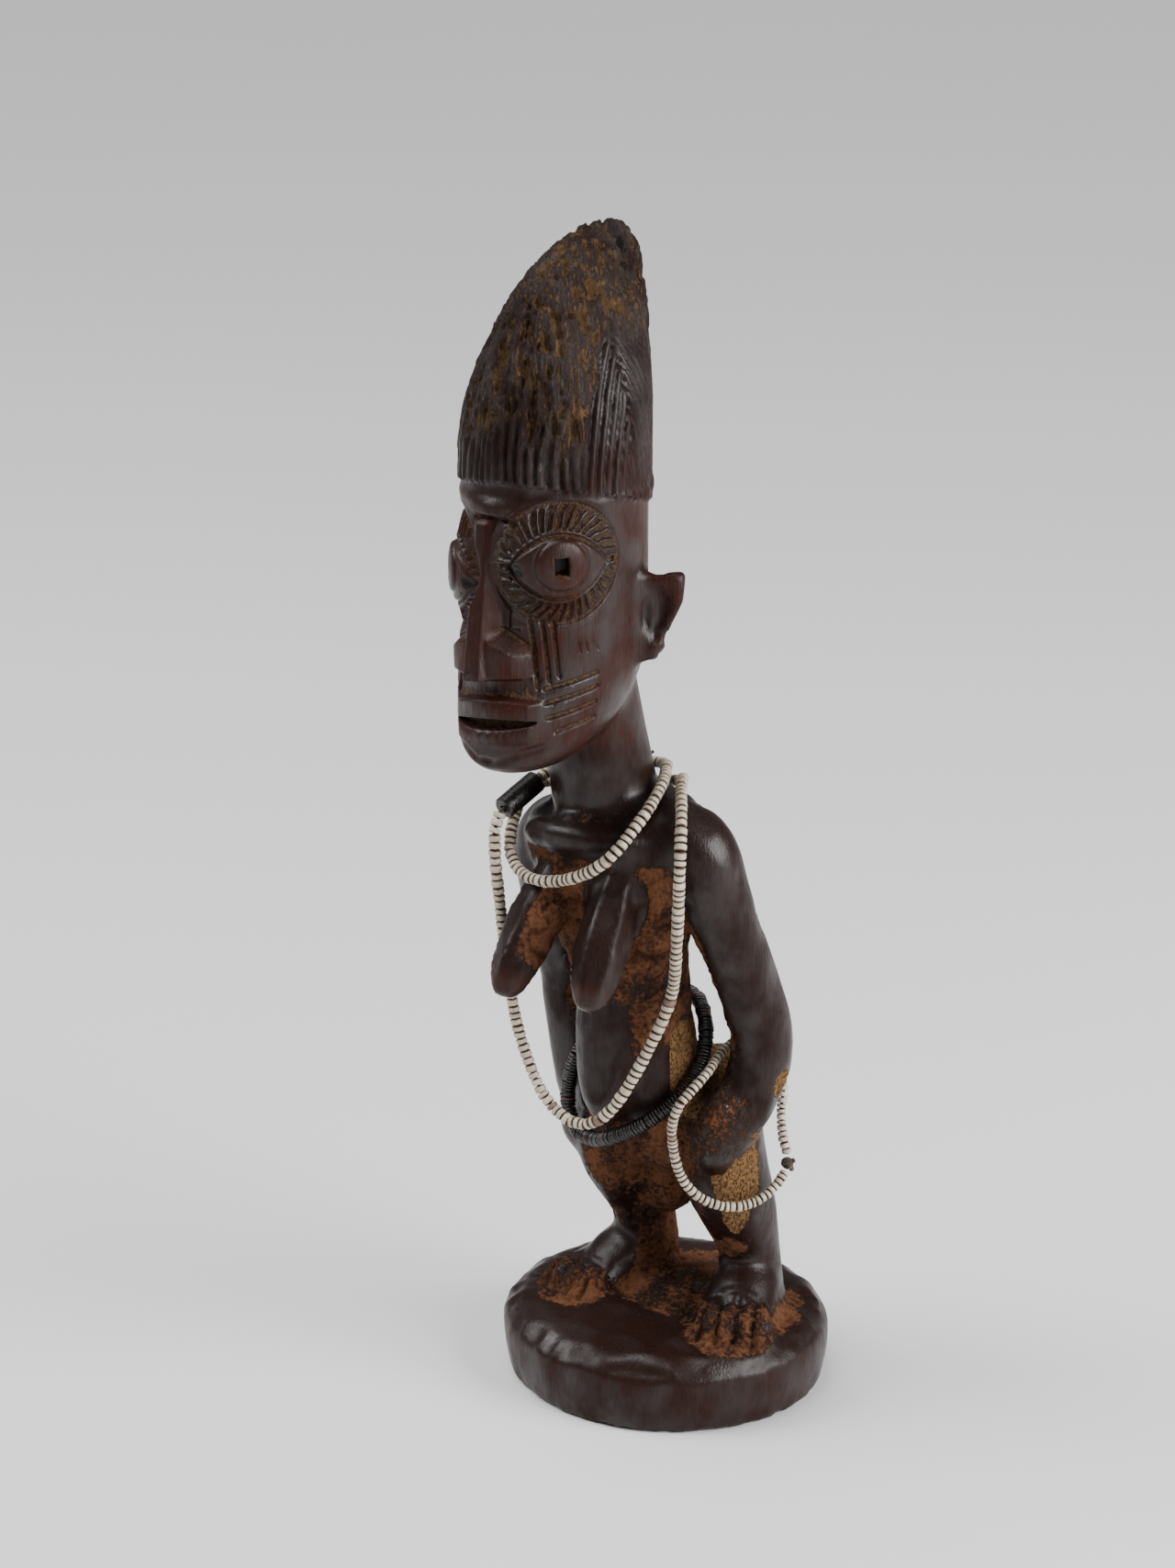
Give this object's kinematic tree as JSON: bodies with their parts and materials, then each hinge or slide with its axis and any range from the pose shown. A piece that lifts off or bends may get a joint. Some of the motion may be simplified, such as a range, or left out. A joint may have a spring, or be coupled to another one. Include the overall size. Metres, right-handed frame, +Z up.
{
  "type": "fertility doll",
  "caption": "Carved wooden standing figure on a round base, with strings of beads at the neck, waist and wrist.",
  "frame": {"origin": "centre of the round base's underside", "axes": "+Z up along the figure; the figure faces -Y, so its left side is +X"},
  "size_m": [0.0798, 0.1002, 0.28],
  "materials": {
    "dark_wood": "dark wood polished by handling, with red-brown camwood crust in the hollows",
    "brown_yarn": "twisted brown cotton thread",
    "ivory_bead": "opaque off-white disc beads, satin, worn and stained brown at the edges",
    "black_bead": "opaque black disc and tube beads, satin"
  },
  "bodies": {
    "figure": {"figure": "dark_wood", "waist_thread": "brown_yarn", "waist_knot": "brown_yarn", "waist_beads_01": "black_bead", "waist_beads_02": "black_bead", "waist_beads_03": "black_bead", "waist_beads_04": "black_bead", "waist_beads_05": "black_bead", "waist_beads_06": "black_bead"},
    "neck_strand": {"neck_thread": "brown_yarn", "neck_knot": "brown_yarn", "neck_beads_01": "ivory_bead", "neck_beads_02": "ivory_bead", "neck_beads_03": "ivory_bead", "neck_beads_04": "ivory_bead", "neck_beads_05": "ivory_bead", "neck_beads_06": "ivory_bead", "neck_beads_07": "ivory_bead", "neck_beads_08": "ivory_bead", "neck_beads_09": "ivory_bead", "neck_beads_10": "ivory_bead", "neck_beads_11": "ivory_bead", "neck_beads_12": "ivory_bead", "neck_return_beads_01": "ivory_bead"},
    "tube_bead": {"tube_bead": "black_bead"},
    "wrist_strand": {"wrist_thread": "brown_yarn", "wrist_knot": "brown_yarn", "wrist_beads_01": "ivory_bead", "wrist_beads_02": "ivory_bead", "wrist_beads_03": "ivory_bead", "wrist_beads_04": "ivory_bead", "wrist_beads_05": "ivory_bead"}
  },
  "joints": [
    {"name": "neck_strand_swing", "type": "hinge", "parent": "figure", "child": "neck_strand", "pos_m": [-0.005, 0.002, 0.1495], "axis": [-1, 0, 0], "range_deg": [0, 8]},
    {"name": "tube_bead_spin", "type": "hinge", "parent": "neck_strand", "child": "tube_bead", "pos_m": [-0.0216, -0.0358, 0.1464], "axis": [0.1163, 0.93, 0.3487], "continuous": true},
    {"name": "wrist_strand_swing", "type": "hinge", "parent": "figure", "child": "wrist_strand", "pos_m": [0.022, 0.002, 0.087], "axis": [-0.8, -0.6, 0], "range_deg": [0, 8]}
  ]
}
